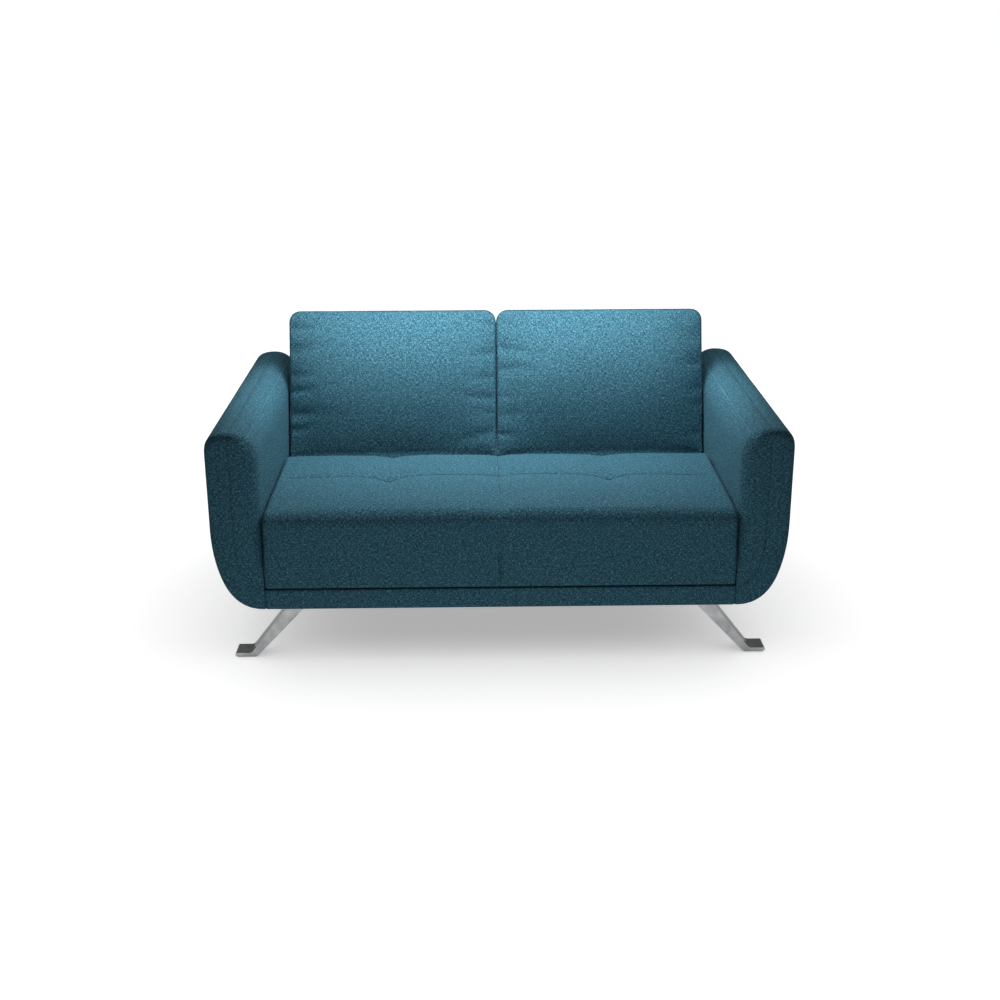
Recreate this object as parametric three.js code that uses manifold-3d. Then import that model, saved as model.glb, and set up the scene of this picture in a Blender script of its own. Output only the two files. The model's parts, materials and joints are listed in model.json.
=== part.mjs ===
// Two-seat futon sofa bed with fixed arms and a back split into two click-clack halves.
// Millimetres. The sofa faces -Y, +X is to its left as it faces out, +Z is up, floor at z = 0.
import * as THREE from 'three';
import { mergeVertices } from 'three/addons/utils/BufferGeometryUtils.js';
import { ConvexGeometry } from 'three/addons/geometries/ConvexGeometry.js';
import Module from 'manifold-3d';

const wasm = await Module();
wasm.setup();

// ---------- driving dimensions ----------
const OVERALL_W = 1560; // across the outsides of the arms
const OVERALL_D = 970; // front face to the rear ends of the arms
const BASE_Z = 156; // underside of the upholstered base
const SEAT_Z = 430; // seat surface at its edges
const SEAT_D = 542; // seat depth, front face to rear edge
const SEAT_PAD = 134; // thickness of the seat's foam over the springs
const SEAT_CROWN = 12; // extra height of the seat at its middle
const ARM_TOP = 655; // crown of the arms
const ARM_W = 139; // thickness of one arm
const ARM_RIDGE = 66; // the arm's crown from its outer side
const ARM_PAD = 22; // foam and cloth over an arm's frame
const BAND_H = 58; // height of the lower band, up to its seam with the seat's front
const FRONT_PAD = 32; // thickness of the upholstery in front of the front rail
const BACK_L = 552; // length of a back half along its lean
const BACK_T = 150; // thickness of a back half
const BACK_CROWN = 14; // swell of a back half's front face
const FRAME_T = 41; // depth of the back frame's timber
const RECLINE = 18; // lean of the upright back, degrees from vertical
const PIVOT_W = 60; // hinge pin behind the back's front face
const PIVOT_U = 83; // hinge pin above the back's lower end
const PIVOT_BACK = 96; // hinge pin behind the seat's rear edge
const SIDE_GAP = 5; // between a back half and the arm
const MID_GAP = 6; // between the two back halves
const SIDE_WALL = 28; // foam beside the back frame, and room for a hinge below it
const RAIL_T = 24; // thickness of the front, middle, rear and centre rails
const SIDE_RAIL_T = 22; // thickness of the side rails
const REAR_RAIL_IN = 46; // rear rail's middle from the rear ends of the arms
const SPRING_COUNT = 6;
const WIRE_R = 1.9; // wire of the seat springs
const SWING = 23; // half width of a spring's zigzag
const PLATE_T = 4; // hinge plates and leg flanges
const PIN_R = 5; // hinge pin
const PIN_CLEAR = 0.09; // running clearance of the pin in its holes
const BOSS_R = 24; // round end of a hinge's fixed plate
const LEG_DEPTH = 60; // width of a leg bar, front to back
const LEG_TOP_W = 49; // thickness of a leg where it meets its flange
const LEG_IN = 194; // outer face of a leg's top from the sofa's side
const FLANGE_W = 62; // flange that is bolted on, beside the leg
const FOOT_OUT_IN = 42; // tip of the foot from the sofa's side
const FOOT_L = 46; // length of the foot's upper face
const FOOT_T = 10; // thickness of the foot
const GLIDE_T = 3; // plastic glide under the foot
const BOLT_R = 4; // leg bolts
const BOLT_L = 52; // length of a leg bolt above its flange
const CLOTH_T = 0.9; // dust cloth under the base
const GAP = 0.4; // clearance between touching pieces
const FLAT_CLEAR = 20; // clearance under a back half that lies flat
const SWING_CLEAR = 15; // clearance under a back half's lower end as it swings
const BRACKET_UP = 32; // lower end of a hinge's flange above the rail's underside

// ---------- derived positions ----------
const HALF_W = OVERALL_W / 2;
const FRONT_Y = -OVERALL_D / 2;
const REAR_Y = OVERALL_D / 2;
const INNER_X = HALF_W - ARM_W;
const SEAM_Z = BASE_Z + BAND_H;
const SEAT_REAR = FRONT_Y + SEAT_D;
const PIVOT_Y = SEAT_REAR + PIVOT_BACK;
const PIVOT_Z = SEAT_Z - PIVOT_W;
const PAD_Z0 = SEAT_Z - SEAT_PAD;
const RAIL_TOP = PAD_Z0 - 2 * WIRE_R - 2 * GAP;
const RAIL_Z0 = BASE_Z + GAP;
const LOW_RAIL_TOP = PIVOT_Z - Math.hypot(PIVOT_U, BACK_T - PIVOT_W) - SWING_CLEAR;
const CLOTH_Z0 = RAIL_Z0 - GAP - CLOTH_T;
const LEG_TOP = CLOTH_Z0 - GAP;
const REAR_TOP = SEAT_Z - BACK_T - FLAT_CLEAR;
const FRONT_RAIL_Y = FRONT_Y + FRONT_PAD + 2 + RAIL_T / 2;
const MID_RAIL_Y = SEAT_REAR - RAIL_T / 2 - 1.5;
const REAR_RAIL_Y = REAR_Y - REAR_RAIL_IN;
const SIDE_RAIL_X = INNER_X - 1 - SIDE_RAIL_T;
const CROSS_X = SIDE_RAIL_X - GAP;
const SECTION_OUT = INNER_X - SIDE_GAP;
const SECTION_IN = MID_GAP / 2;
const NOTCH_U = PIVOT_U + BOSS_R + 6;
const PAD_V = BACK_T - FRAME_T - 2;
const LEG_TOP_OUT = HALF_W - LEG_IN;
const LEG_TOP_IN = LEG_TOP_OUT - LEG_TOP_W;
const FOOT_OUT = HALF_W - FOOT_OUT_IN;
const FOOT_BEND = FOOT_OUT - FOOT_L;
const FOOT_IN = FOOT_BEND - 17;
const BOLT_X = LEG_TOP_IN - FLANGE_W / 2 - 9;

// ---------- finishes ----------
const FINISH = {
  fabric: { color: 0x2f6579, roughness: 0.95, metalness: 0 },
  wood: { color: 0xcbab7c, roughness: 0.7, metalness: 0 },
  chrome: { color: 0xd6dade, roughness: 0.08, metalness: 1 },
  zinc: { color: 0x9a9ea3, roughness: 0.35, metalness: 1 },
  cloth: { color: 0x1d1d20, roughness: 0.98, metalness: 0 },
  plastic: { color: 0x26272a, roughness: 0.55, metalness: 0 },
};

const group = new THREE.Group();

function addPart(name, geometry, finish, holder = group) {
  geometry.computeVertexNormals();
  const mesh = new THREE.Mesh(geometry, new THREE.MeshStandardMaterial(FINISH[finish]));
  mesh.name = name;
  holder.add(mesh);
  return mesh;
}

// ---------- solids ----------
function welded(geometry) {
  const copy = geometry.clone();
  copy.deleteAttribute('normal');
  copy.deleteAttribute('uv');
  return mergeVertices(copy, 1e-4);
}

function toManifold(geometry) {
  const g = welded(geometry);
  return new wasm.Manifold(new wasm.Mesh({
    numProp: 3,
    vertProperties: new Float32Array(g.attributes.position.array),
    triVerts: new Uint32Array(g.index.array),
  }));
}

function fromManifold(solid) {
  const mesh = solid.getMesh();
  const g = new THREE.BufferGeometry();
  g.setAttribute('position', new THREE.BufferAttribute(Float32Array.from(mesh.vertProperties), 3));
  g.setIndex(new THREE.BufferAttribute(Uint32Array.from(mesh.triVerts), 1));
  return g;
}

function cut(geometry, tools) {
  let solid = toManifold(geometry);
  for (const tool of tools) solid = solid.subtract(toManifold(tool));
  return fromManifold(solid);
}

function join(geometries) {
  let solid = toManifold(geometries[0]);
  for (const other of geometries.slice(1)) solid = solid.add(toManifold(other));
  return fromManifold(solid);
}

function block(x0, x1, y0, y1, z0, z1) {
  const g = new THREE.BoxGeometry(x1 - x0, y1 - y0, z1 - z0);
  g.translate((x0 + x1) / 2, (y0 + y1) / 2, (z0 + z1) / 2);
  return g;
}

function rodX(x0, x1, y, z, r, sides = 24) {
  const g = new THREE.CylinderGeometry(r, r, x1 - x0, sides);
  g.rotateZ(Math.PI / 2);
  g.translate((x0 + x1) / 2, y, z);
  return g;
}

function rodZ(x, y, z0, z1, r, sides = 24) {
  const g = new THREE.CylinderGeometry(r, r, z1 - z0, sides);
  g.rotateX(Math.PI / 2);
  g.translate(x, y, (z0 + z1) / 2);
  return g;
}

// Prism with its outline in the XZ plane, from y0 to y1.
function prismY(outline, y0, y1) {
  const shape = new THREE.Shape(outline.map(([x, z]) => new THREE.Vector2(x, z)));
  const g = new THREE.ExtrudeGeometry(shape, { depth: y1 - y0, bevelEnabled: false, curveSegments: 1 });
  g.applyMatrix4(new THREE.Matrix4().set(1, 0, 0, 0, 0, 0, -1, y1, 0, 1, 0, 0, 0, 0, 0, 1));
  return g;
}

function mirroredX(geometry) {
  const g = welded(geometry);
  g.scale(-1, 1, 1);
  const index = Array.from(g.index.array);
  for (let i = 0; i < index.length; i += 3) {
    const first = index[i];
    index[i] = index[i + 1];
    index[i + 1] = first;
  }
  g.setIndex(index);
  return g;
}

// Positions of grid lines across one side of a padded block: close together in the roundings.
function gridLines(lo, hi, rLo, rHi, inner) {
  const arc = 3;
  const lines = [];
  for (let k = arc; k > 0; k -= 1) lines.push(lo + rLo * (1 - Math.tan((k / arc) * (Math.PI / 4))));
  for (let k = 0; k <= inner; k += 1) lines.push(lo + rLo + ((hi - rHi - lo - rLo) * k) / inner);
  for (let k = 1; k <= arc; k += 1) lines.push(hi - rHi * (1 - Math.tan((k / arc) * (Math.PI / 4))));
  return lines;
}

// Surface of a box cut along the grid lines, as one closed quad mesh.
function gridSurface(lines) {
  const corner = [];
  const index = [];
  const seen = new Map();
  const vertex = (i, j, k) => {
    const key = `${i},${j},${k}`;
    if (!seen.has(key)) {
      seen.set(key, corner.length);
      corner.push([lines[0][i], lines[1][j], lines[2][k]]);
    }
    return seen.get(key);
  };
  for (let axis = 0; axis < 3; axis += 1) {
    const a = (axis + 1) % 3;
    const b = (axis + 2) % 3;
    for (const end of [0, lines[axis].length - 1]) {
      for (let p = 0; p < lines[a].length - 1; p += 1) {
        for (let q = 0; q < lines[b].length - 1; q += 1) {
          const quad = [[p, q], [p + 1, q], [p + 1, q + 1], [p, q + 1]].map(([s, t]) => {
            const at = [0, 0, 0];
            at[axis] = end;
            at[a] = s;
            at[b] = t;
            return vertex(...at);
          });
          if (end === 0) quad.reverse();
          index.push(quad[0], quad[1], quad[2], quad[0], quad[2], quad[3]);
        }
      }
    }
  }
  return { corner, index };
}

// Upholstered block: every side has its own rounding, and one face may swell outward.
function paddedBlock({ lo, hi, rLo, rHi, inner, crownAxis, crownSign, crown }) {
  const lines = [0, 1, 2].map((i) => gridLines(lo[i], hi[i], rLo[i], rHi[i], inner[i]));
  const { corner, index } = gridSurface(lines);
  const position = [];
  for (const p of corner) {
    const core = p.map((v, i) => Math.min(Math.max(v, lo[i] + rLo[i]), hi[i] - rHi[i]));
    const radius = p.map((v, i) => (v < core[i] ? rLo[i] : rHi[i]));
    const dir = p.map((v, i) => (v - core[i]) / radius[i]);
    const length = Math.hypot(...dir);
    const out = core.map((v, i) => v + (dir[i] / length) * radius[i]);
    if (crown) {
      let swell = crown * Math.max(0, (dir[crownAxis] / length) * crownSign);
      for (const i of [0, 1, 2]) {
        if (i !== crownAxis) {
          const t = (2 * out[i] - lo[i] - hi[i]) / (hi[i] - lo[i]);
          swell *= 1 - t * t;
        }
      }
      out[crownAxis] += crownSign * swell;
    }
    position.push(...out);
  }
  const g = new THREE.BufferGeometry();
  g.setAttribute('position', new THREE.Float32BufferAttribute(position, 3));
  g.setIndex(index);
  return g;
}

// Loft through rings with the same number of points, closed by fans at both ends.
function loft(rings) {
  const count = rings[0].length;
  const position = rings.flat(2);
  const index = [];
  for (let r = 0; r < rings.length - 1; r += 1) {
    for (let i = 0; i < count; i += 1) {
      const a = r * count + i;
      const b = r * count + ((i + 1) % count);
      index.push(a, b, b + count, a, b + count, a + count);
    }
  }
  for (const end of [0, rings.length - 1]) {
    const centre = [0, 1, 2].map((axis) => rings[end].reduce((sum, p) => sum + p[axis], 0) / count);
    const hub = position.length / 3;
    position.push(...centre);
    for (let i = 0; i < count; i += 1) {
      const a = end * count + i;
      const b = end * count + ((i + 1) % count);
      if (end === 0) index.push(hub, b, a);
      else index.push(hub, a, b);
    }
  }
  const g = new THREE.BufferGeometry();
  g.setAttribute('position', new THREE.Float32BufferAttribute(position, 3));
  g.setIndex(index);
  return g;
}

// ---------- wooden base ----------
function boltHoles(y) {
  return [-1, 1].map((side) => rodZ(side * BOLT_X, y, LEG_TOP - 9, RAIL_Z0 + BOLT_L + 3, BOLT_R + GAP));
}

function crossRail(y, top) {
  return block(-CROSS_X, CROSS_X, y - RAIL_T / 2, y + RAIL_T / 2, RAIL_Z0, top);
}

function buildRails() {
  const half = RAIL_T / 2;
  addPart('rail_front', cut(crossRail(FRONT_RAIL_Y, RAIL_TOP), boltHoles(FRONT_RAIL_Y)), 'wood');
  addPart('rail_middle', crossRail(MID_RAIL_Y, RAIL_TOP), 'wood');
  addPart('rail_rear', cut(crossRail(REAR_RAIL_Y, REAR_TOP - 6), boltHoles(REAR_RAIL_Y)), 'wood');
  const side = block(SIDE_RAIL_X, SIDE_RAIL_X + SIDE_RAIL_T, FRONT_RAIL_Y - half, REAR_RAIL_Y + half,
    RAIL_Z0, LOW_RAIL_TOP);
  addPart('rail_left', side, 'wood');
  addPart('rail_right', mirroredX(side), 'wood');
  addPart('rail_centre', block(-half, half, FRONT_RAIL_Y + half + GAP, MID_RAIL_Y - half - GAP,
    RAIL_Z0, RAIL_TOP - 24), 'wood');
}

// ---------- seat springs: one zigzag wire each, front rail to middle rail ----------
class Zigzag extends THREE.Curve {
  constructor(x, y0, y1, z) {
    super();
    Object.assign(this, { x, y0, y1, z });
    this.waves = 7;
  }

  getPoint(t, target = new THREE.Vector3()) {
    const phase = t * this.waves * 2 * Math.PI;
    const y = this.y0 + (this.y1 - this.y0) * t + 3.2 * Math.sin(2 * phase);
    return target.set(this.x + SWING * Math.sin(phase), y, this.z);
  }
}

function buildSprings() {
  const section = new THREE.Shape();
  section.absarc(0, 0, WIRE_R, 0, 2 * Math.PI, false);
  const reach = CROSS_X - 95;
  const z = RAIL_TOP + GAP + WIRE_R;
  for (let i = 0; i < SPRING_COUNT; i += 1) {
    const x = -reach + (2 * reach * i) / (SPRING_COUNT - 1);
    const path = new Zigzag(x, FRONT_RAIL_Y - 6, MID_RAIL_Y + 6, z);
    const wire = new THREE.ExtrudeGeometry(section, { steps: 56, curveSegments: 3, extrudePath: path });
    addPart(`seat_spring_${i + 1}`, wire, 'zinc');
  }
}

// ---------- seat and lower band ----------
function buildSeat() {
  const side = INNER_X - 3;
  const whole = paddedBlock({
    lo: [-side, FRONT_Y + 2, SEAM_Z + GAP],
    hi: [side, SEAT_REAR, SEAT_Z],
    rLo: [30, 40, 6],
    rHi: [30, 26, 40],
    inner: [8, 5, 1],
    crownAxis: 2,
    crownSign: 1,
    crown: SEAT_CROWN,
  });
  const under = block(-HALF_W, HALF_W, FRONT_Y + FRONT_PAD + 1, SEAT_REAR + 50, BASE_Z, PAD_Z0);
  addPart('seat_cushion', cut(whole, [under]), 'fabric');
}

function buildBand() {
  const side = INNER_X - 0.2;
  addPart('front_band', paddedBlock({
    lo: [-side, FRONT_Y + 1, BASE_Z],
    hi: [side, FRONT_Y + FRONT_PAD + 1, SEAM_Z],
    rLo: [2, 8, 8],
    rHi: [2, 2, 5],
    inner: [1, 1, 1],
  }), 'fabric');
}

// ---------- arms ----------
function cornerArc(cx, cz, rx, rz, from, to, count, power) {
  const points = [];
  for (let i = 0; i <= count; i += 1) {
    const a = from + ((to - from) * i) / count;
    const c = Math.cos(a);
    const s = Math.sin(a);
    points.push([
      cx + rx * Math.sign(c) * Math.abs(c) ** (2 / power),
      cz + rz * Math.sign(s) * Math.abs(s) ** (2 / power),
    ]);
  }
  return points;
}

// Front-view outline of the arm, drawn for +X and shrunk by the given inset.
function armOutline(inset) {
  const ridge = HALF_W - ARM_RIDGE;
  const x0 = INNER_X + 0.5 + inset;
  const x1 = HALF_W - inset;
  const z0 = BASE_Z + inset;
  const z1 = ARM_TOP - inset;
  const lowX = x1 - x0 - 1.5;
  const lowZ = 240 - inset;
  const quarter = Math.PI / 2;
  return [
    ...cornerArc(x1 - lowX, z0 + lowZ, lowX, lowZ, -quarter, 0, 9, 2.3),
    ...cornerArc(ridge, z1 - 60 + inset, x1 - ridge, 60 - inset, 0, quarter, 7, 2.7),
    ...cornerArc(ridge, z1 - 85 + inset, ridge - x0, 85 - inset, quarter, 2 * quarter, 7, 2.1).slice(1),
    [x0, z0],
  ];
}

function armRing(inset, y) {
  return armOutline(inset).map(([x, z]) => [x, y, z]);
}

function armCover() {
  const round = 30;
  const steps = 4;
  const rings = [];
  for (let k = steps; k >= 0; k -= 1) {
    const a = ((k / steps) * Math.PI) / 2;
    rings.push(armRing(round * (1 - Math.cos(a)), FRONT_Y + round * (1 - Math.sin(a))));
  }
  for (let k = 0; k <= steps; k += 1) {
    const a = ((k / steps) * Math.PI) / 2;
    rings.push(armRing(round * (1 - Math.cos(a)), REAR_Y - round * (1 - Math.sin(a))));
  }
  const inner = [armRing(ARM_PAD, REAR_Y - 26), armRing(ARM_PAD, FRONT_Y + 26)];
  const window = block(INNER_X - 5, INNER_X + ARM_PAD + 5, FRONT_RAIL_Y + 40, SEAT_REAR - 40,
    BASE_Z + 30, PAD_Z0 - 6);
  return cut(loft(rings.reverse()), [loft(inner), window]);
}

function buildArms() {
  const ply = 18;
  const near = FRONT_Y + 27;
  const far = REAR_Y - 27;
  const former = armOutline(ARM_PAD + 1);
  const cover = armCover();
  const pieces = {
    former_front: prismY(former, near, near + ply),
    former_rear: prismY(former, far - ply, far),
    rail: block(INNER_X + 38, HALF_W - 41, near + ply + GAP, far - ply - GAP, ARM_TOP - 102, ARM_TOP - 62),
  };
  for (const [name, side] of [['left', 1], ['right', -1]]) {
    addPart(`arm_${name}_cover`, side > 0 ? cover : mirroredX(cover), 'fabric');
    for (const [piece, g] of Object.entries(pieces)) {
      addPart(`arm_${name}_${piece}`, side > 0 ? g : mirroredX(g), 'wood');
    }
  }
}

// ---------- rear panel and underside ----------
function buildPanels() {
  const y = REAR_RAIL_Y + RAIL_T / 2 + GAP;
  const inset = RAIL_T / 2 - 1;
  addPart('rear_panel', paddedBlock({
    lo: [-INNER_X + 0.2, y, BASE_Z + 1],
    hi: [INNER_X - 0.2, y + 14, REAR_TOP],
    rLo: [2, 2, 4],
    rHi: [2, 5, 5],
    inner: [1, 1, 1],
  }), 'fabric');
  const sheet = block(-INNER_X + 2, INNER_X - 2, FRONT_RAIL_Y - inset, REAR_RAIL_Y + inset,
    CLOTH_Z0, CLOTH_Z0 + CLOTH_T);
  addPart('dust_cloth', cut(sheet, [...boltHoles(FRONT_RAIL_Y), ...boltHoles(REAR_RAIL_Y)]), 'cloth');
}

// ---------- legs ----------
function legOutline() {
  const sole = GLIDE_T + GAP;
  const under = LEG_TOP - PLATE_T;
  return [
    [LEG_TOP_IN - FLANGE_W, LEG_TOP],
    [LEG_TOP_IN - FLANGE_W, under],
    [LEG_TOP_IN, under],
    [FOOT_IN - 3, sole + 5],
    [FOOT_IN + 1, sole + 1],
    [FOOT_IN + 5, sole],
    [FOOT_OUT - 3, sole],
    [FOOT_OUT, sole + 3],
    [FOOT_OUT, sole + FOOT_T - 3],
    [FOOT_OUT - 3, sole + FOOT_T],
    [FOOT_BEND + 6, sole + FOOT_T],
    [FOOT_BEND - 1, sole + FOOT_T + 3],
    [FOOT_BEND - 6, sole + FOOT_T + 9],
    [LEG_TOP_OUT, under],
    [LEG_TOP_OUT + 8, under],
    [LEG_TOP_OUT + 8, LEG_TOP],
  ];
}

function buildLegs() {
  const half = RAIL_T / 2;
  const under = LEG_TOP - PLATE_T;
  const rows = [
    ['front', FRONT_RAIL_Y - half, FRONT_RAIL_Y],
    ['rear', REAR_RAIL_Y + half - LEG_DEPTH, REAR_RAIL_Y],
  ];
  for (const [row, y0, boltY] of rows) {
    const hole = rodZ(BOLT_X, boltY, under - 20, LEG_TOP + 20, BOLT_R + GAP);
    const leg = cut(prismY(legOutline(), y0, y0 + LEG_DEPTH), [hole]);
    const glide = block(FOOT_IN + 7, FOOT_OUT - 5, y0 + 5, y0 + LEG_DEPTH - 5, 0, GLIDE_T);
    const bolt = join([
      rodZ(BOLT_X, boltY, under - GAP - 5.2, under - GAP, 2 * BOLT_R, 6),
      rodZ(BOLT_X, boltY, under - 2, under + BOLT_L, BOLT_R, 20),
    ]);
    for (const [name, side] of [['left', 1], ['right', -1]]) {
      addPart(`leg_${row}_${name}`, side > 0 ? leg : mirroredX(leg), 'chrome');
      addPart(`glide_${row}_${name}`, side > 0 ? glide : mirroredX(glide), 'plastic');
      addPart(`leg_bolt_${row}_${name}`, side > 0 ? bolt : mirroredX(bolt), 'zinc');
    }
  }
}

// ---------- click-clack hinges ----------
function circlePoints(y, z, r, count) {
  const points = [];
  for (let i = 0; i < count; i += 1) {
    const a = (i / count) * 2 * Math.PI;
    points.push([y + r * Math.cos(a), z + r * Math.sin(a)]);
  }
  return points;
}

// Flat plate with the hull of the given points as its outline.
function hullPlate(points, x0, x1) {
  const vectors = points.flatMap(([y, z]) => [new THREE.Vector3(x0, y, z), new THREE.Vector3(x1, y, z)]);
  return new ConvexGeometry(vectors);
}

// The hinge's fixed plate stands on the middle rail; outward is the side its pin head is on.
function seatBracket(x, outward) {
  const face = MID_RAIL_Y + RAIL_T / 2 + GAP;
  const x0 = outward > 0 ? x : x - PLATE_T;
  const tall = RAIL_TOP - 8;
  const low = RAIL_Z0 + BRACKET_UP;
  const web = hullPlate([
    ...circlePoints(PIVOT_Y, PIVOT_Z, BOSS_R, 28),
    [face, tall],
    [face, low],
    [face + 8, low],
  ], x0, x0 + PLATE_T);
  const inward = outward > 0 ? x0 - 24 : x0;
  const flange = block(inward, inward + 24 + PLATE_T, face, face + PLATE_T, low, tall);
  const bore = rodX(x0 - 9, x0 + PLATE_T + 9, PIVOT_Y, PIVOT_Z, PIN_R + PIN_CLEAR, 32);
  return cut(join([web, flange]), [bore]);
}

function hingePin(x, outward) {
  const head = x + (PLATE_T + GAP) * outward;
  const end = x - (PLATE_T + 0.2) * outward;
  const span = (a, b, r) => rodX(Math.min(a, b), Math.max(a, b), PIVOT_Y, PIVOT_Z, r, 32);
  return join([span(head, head + 4 * outward, PIN_R + 4), span(head + outward, end, PIN_R)]);
}

// ---------- back halves: y = 0 is the front face and z = 0 the lower end, before they lean ----------
function backCushion(x0, x1) {
  const whole = paddedBlock({
    lo: [x0, 0, 0],
    hi: [x1, BACK_T, BACK_L],
    rLo: [33, 40, 40],
    rHi: [33, 14, 33],
    inner: [5, 1, 5],
    crownAxis: 1,
    crownSign: -1,
    crown: BACK_CROWN,
  });
  const pocket = block(x0 + SIDE_WALL, x1 - SIDE_WALL, PAD_V, BACK_T + 20, -20, BACK_L - SIDE_WALL);
  const tools = [pocket];
  for (const [a, b] of [[x0 - 20, x0 + SIDE_WALL], [x1 - SIDE_WALL, x1 + 20]]) {
    tools.push(block(a, b, -60, BACK_T + 20, -20, NOTCH_U));
  }
  return cut(whole, tools);
}

function backFrame(x0, x1) {
  const board = 30;
  const a = x0 + SIDE_WALL + GAP;
  const b = x1 - SIDE_WALL - GAP;
  const y0 = PAD_V + GAP;
  const y1 = y0 + FRAME_T;
  const top = BACK_L - SIDE_WALL - 1;
  return {
    post_a: block(a, a + board, y0, y1, 8, top),
    post_b: block(b - board, b, y0, y1, 8, top),
    rail_top: block(a + board + GAP, b - board - GAP, y0, y1, top - 50, top),
    rail_low: block(a + board + GAP, b - board - GAP, y0, y1, 30, 100),
  };
}

function backPanel(x0, x1) {
  const notch = NOTCH_U + 4;
  const a = x0 + SIDE_WALL + 1;
  const b = x1 - SIDE_WALL - 1;
  const outline = [
    [a, 6], [b, 6], [b, notch], [x1 - 4, notch], [x1 - 4, BACK_L - 18], [x1 - 18, BACK_L - 4],
    [x0 + 18, BACK_L - 4], [x0 + 4, BACK_L - 18], [x0 + 4, notch], [a, notch],
  ];
  return prismY(outline, BACK_T + GAP, BACK_T + GAP + 2.6);
}

// The hinge's moving plate lies against the outside of a back post.
function backPlate(x, outward) {
  const x0 = outward > 0 ? x - PLATE_T : x;
  const plate = hullPlate([
    ...circlePoints(PIVOT_W, PIVOT_U, BOSS_R - 2, 28),
    [PAD_V + 3, NOTCH_U - 5],
    [BACK_T - 6, NOTCH_U - 5],
    [BACK_T - 6, 14],
    [PAD_V + 3, 14],
  ], x0, x0 + PLATE_T);
  return cut(plate, [rodX(x0 - 9, x0 + PLATE_T + 9, PIVOT_W, PIVOT_U, PIN_R + PIN_CLEAR, 32)]);
}

function buildBackHalf(name, side) {
  const x0 = side > 0 ? SECTION_IN : -SECTION_OUT;
  const x1 = side > 0 ? SECTION_OUT : -SECTION_IN;
  const half = new THREE.Group();
  half.position.set(0, PIVOT_Y, PIVOT_Z);
  half.rotation.x = THREE.MathUtils.degToRad(-RECLINE);
  group.add(half);
  const hang = (piece, geometry, finish) => {
    addPart(`back_${name}_${piece}`, geometry, finish, half).position.set(0, -PIVOT_W, -PIVOT_U);
  };
  hang('cushion', backCushion(x0, x1), 'fabric');
  for (const [piece, g] of Object.entries(backFrame(x0, x1))) hang(piece, g, 'wood');
  hang('panel', backPanel(x0, x1), 'fabric');
  for (const [end, edge, outward] of [['a', x0 + SIDE_WALL, -1], ['b', x1 - SIDE_WALL, 1]]) {
    const meet = edge + outward * (PLATE_T + GAP + 0.1);
    hang(`hinge_${end}`, backPlate(meet, outward), 'zinc');
    const fixed = meet + outward * (GAP + 0.1);
    addPart(`seat_hinge_${name}_${end}`, seatBracket(fixed, outward), 'zinc');
    addPart(`hinge_pin_${name}_${end}`, hingePin(fixed, outward), 'zinc');
  }
}

buildRails();
buildSprings();
buildSeat();
buildBand();
buildArms();
buildPanels();
buildLegs();
buildBackHalf('left', 1);
buildBackHalf('right', -1);

export default group;
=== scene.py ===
"""Looks of a two-seat futon sofa bed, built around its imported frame.

Metres, +Z up. The sofa faces -Y and +X is to its left. Upholstery is rebuilt as padded
fabric with seams; timber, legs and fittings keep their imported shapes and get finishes.
"""

import json
import logging
import math
from dataclasses import dataclass, field
from enum import Enum
from typing import Callable

import bmesh
import bpy
import numpy as np
from mathutils import Matrix, Vector


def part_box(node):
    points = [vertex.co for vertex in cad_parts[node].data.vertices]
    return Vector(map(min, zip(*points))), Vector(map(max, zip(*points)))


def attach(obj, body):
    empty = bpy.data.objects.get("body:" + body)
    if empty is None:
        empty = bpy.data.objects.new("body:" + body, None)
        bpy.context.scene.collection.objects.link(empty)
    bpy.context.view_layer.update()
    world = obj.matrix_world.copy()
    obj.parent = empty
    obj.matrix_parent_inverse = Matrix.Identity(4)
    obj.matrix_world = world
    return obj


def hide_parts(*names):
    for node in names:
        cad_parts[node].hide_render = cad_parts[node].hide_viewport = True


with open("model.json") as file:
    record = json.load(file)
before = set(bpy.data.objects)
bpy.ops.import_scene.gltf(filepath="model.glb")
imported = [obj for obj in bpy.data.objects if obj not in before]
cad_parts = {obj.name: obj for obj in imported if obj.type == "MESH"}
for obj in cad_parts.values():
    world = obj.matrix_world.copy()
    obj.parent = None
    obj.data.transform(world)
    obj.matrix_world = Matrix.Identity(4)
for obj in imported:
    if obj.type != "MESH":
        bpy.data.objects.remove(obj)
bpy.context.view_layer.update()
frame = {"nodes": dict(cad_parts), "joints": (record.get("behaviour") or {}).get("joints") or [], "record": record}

MM = 0.001
LOG = logging.getLogger("sofa")
Array = np.ndarray
Colour = tuple[float, float, float]


class Slot(Enum):
    """Material slots of the record."""

    FABRIC = "teal_fabric"
    WOOD = "frame_wood"
    CHROME = "chrome_leg"
    STEEL = "zinc_steel"
    PLASTIC = "glide_plastic"
    CLOTH = "black_cloth"


# ---------- numbers ----------
def smooth(x: Array | float, lo: float, hi: float) -> Array:
    """Smooth step from 0 at lo to 1 at hi."""
    t = np.clip((np.asarray(x, float) - lo) / (hi - lo), 0, 1)
    return t * t * (3 - 2 * t)


def spaced(marks: list[float], step: float) -> Array:
    """Grid lines through every mark, at most step apart.

    Args:
        marks: positions that a line has to pass through.
        step: largest distance between lines.

    Returns:
        The sorted positions.
    """
    marks = sorted(set(marks))
    lines = [marks[0]]
    for a, b in zip(marks, marks[1:]):
        count = max(1, math.ceil((b - a) / step - 1e-6))
        lines.extend(a + (b - a) * k / count for k in range(1, count + 1))
    return np.array(lines)


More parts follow.
